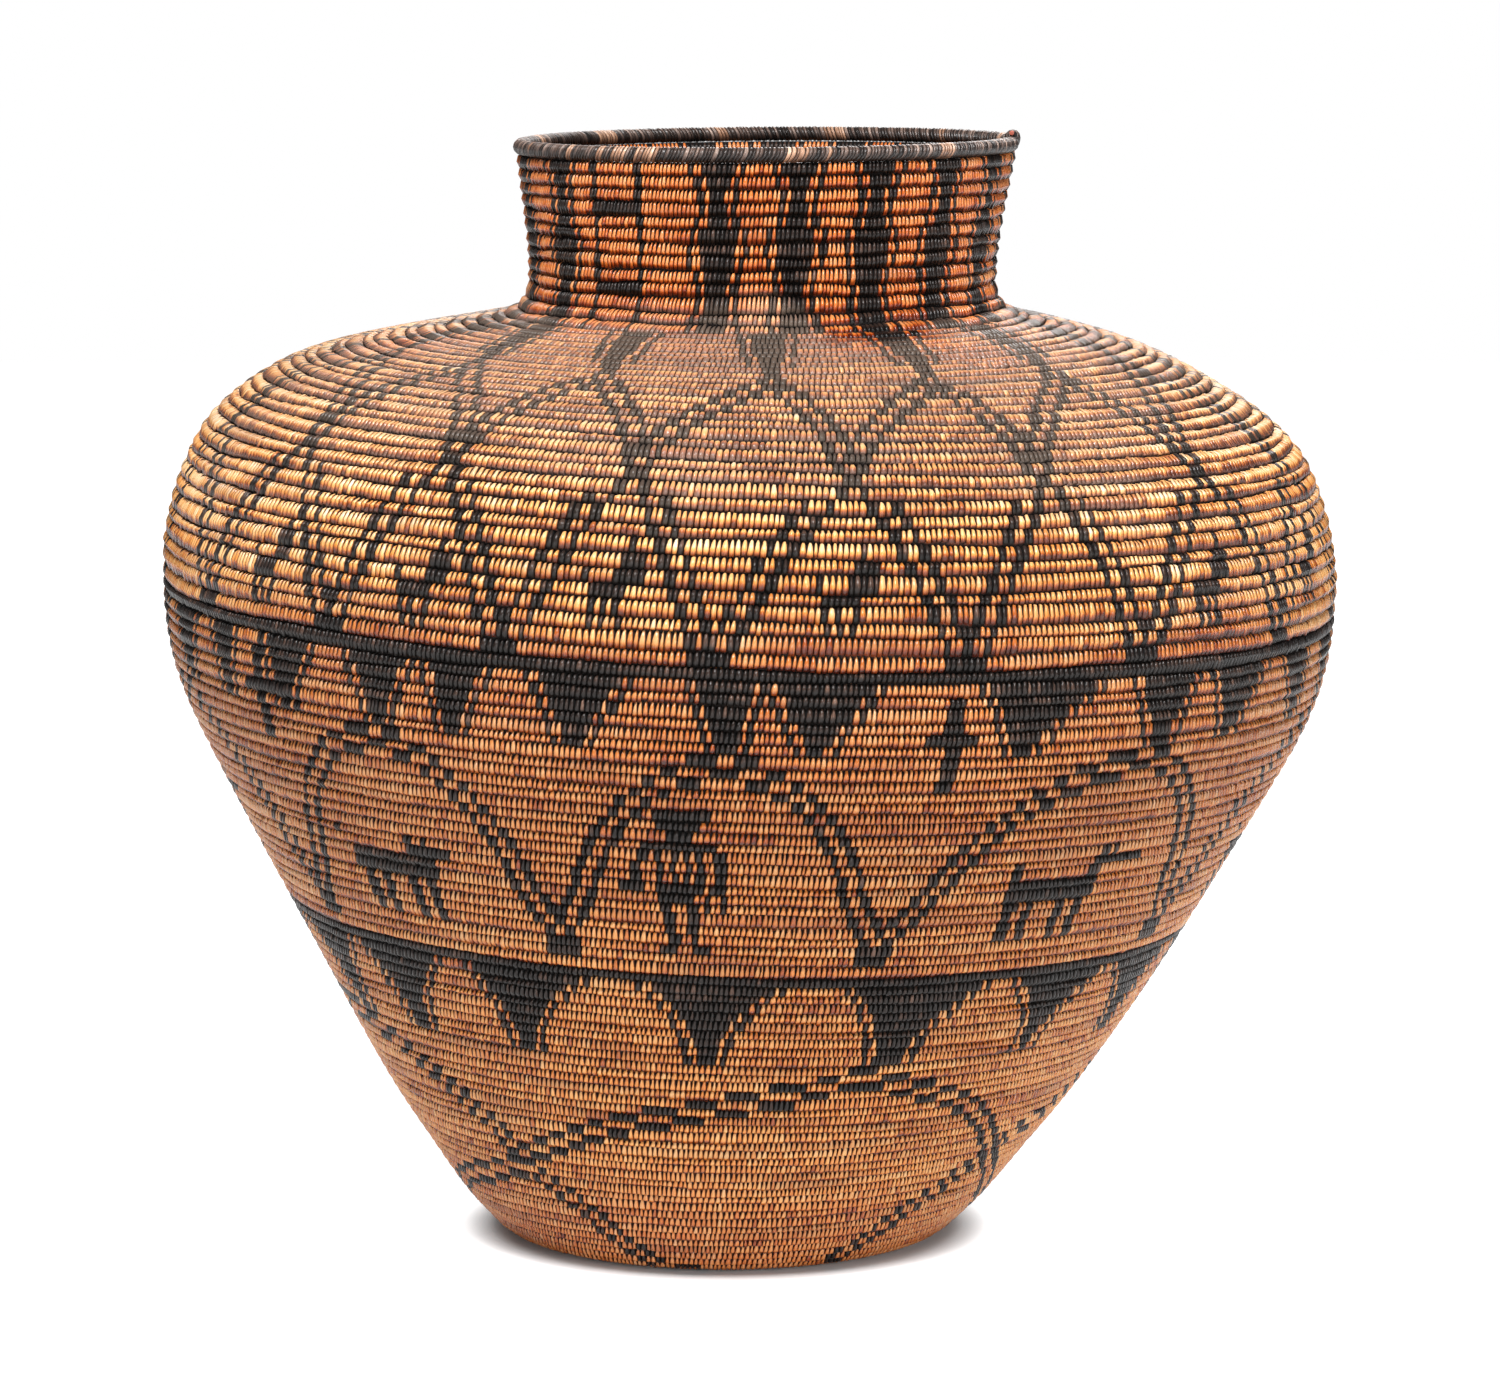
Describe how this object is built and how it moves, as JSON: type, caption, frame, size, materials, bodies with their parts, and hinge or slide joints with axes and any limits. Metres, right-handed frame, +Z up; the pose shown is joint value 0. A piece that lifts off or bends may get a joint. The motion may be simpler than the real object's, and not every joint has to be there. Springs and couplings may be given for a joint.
{
  "type": "pictorial basket",
  "caption": "Coiled storage jar basket: round flat base, flaring wall, wide rounded belly, low shoulder, narrow flared neck and a thick wrapped rim.",
  "frame": {"origin": "middle of the flat underside of the base, on the surface that the basket stands on", "axes": "+Z up through the mouth; -Y towards the viewer of the picture; the neck leans 17.5 mm towards +X"},
  "size_m": [0.4943, 0.494, 0.4674],
  "materials": {
    "willow": "split willow shoots, satin, aged to honey and orange",
    "devils_claw": "split devil's claw, near black, low sheen",
    "bare_rod": "bare cut end of a reddish rod, matte"
  },
  "bodies": {
    "root": {"start_knot": "willow", "base_coil_1": "willow", "base_coil_2": "willow", "lower_wall_coil_1": "willow", "lower_wall_coil_2": "willow", "lower_wall_coil_3": "willow", "lower_wall_coil_4": "willow", "lower_wall_coil_5": "willow", "middle_wall_coil_1": "willow", "middle_wall_coil_2": "willow", "middle_wall_coil_3": "willow", "middle_wall_coil_4": "willow", "belly_coil_1": "willow", "belly_coil_2": "willow", "belly_coil_3": "willow", "shoulder_coil_1": "willow", "shoulder_coil_2": "willow", "shoulder_coil_3": "willow", "neck_coil_1": "willow", "neck_coil_2": "willow", "neck_coil_3": "willow", "lower_black_course": "devils_claw", "upper_black_course": "devils_claw", "rim_coil": "devils_claw", "rim_coil_end": "devils_claw", "rim_rod_end": "bare_rod"}
  },
  "joints": []
}
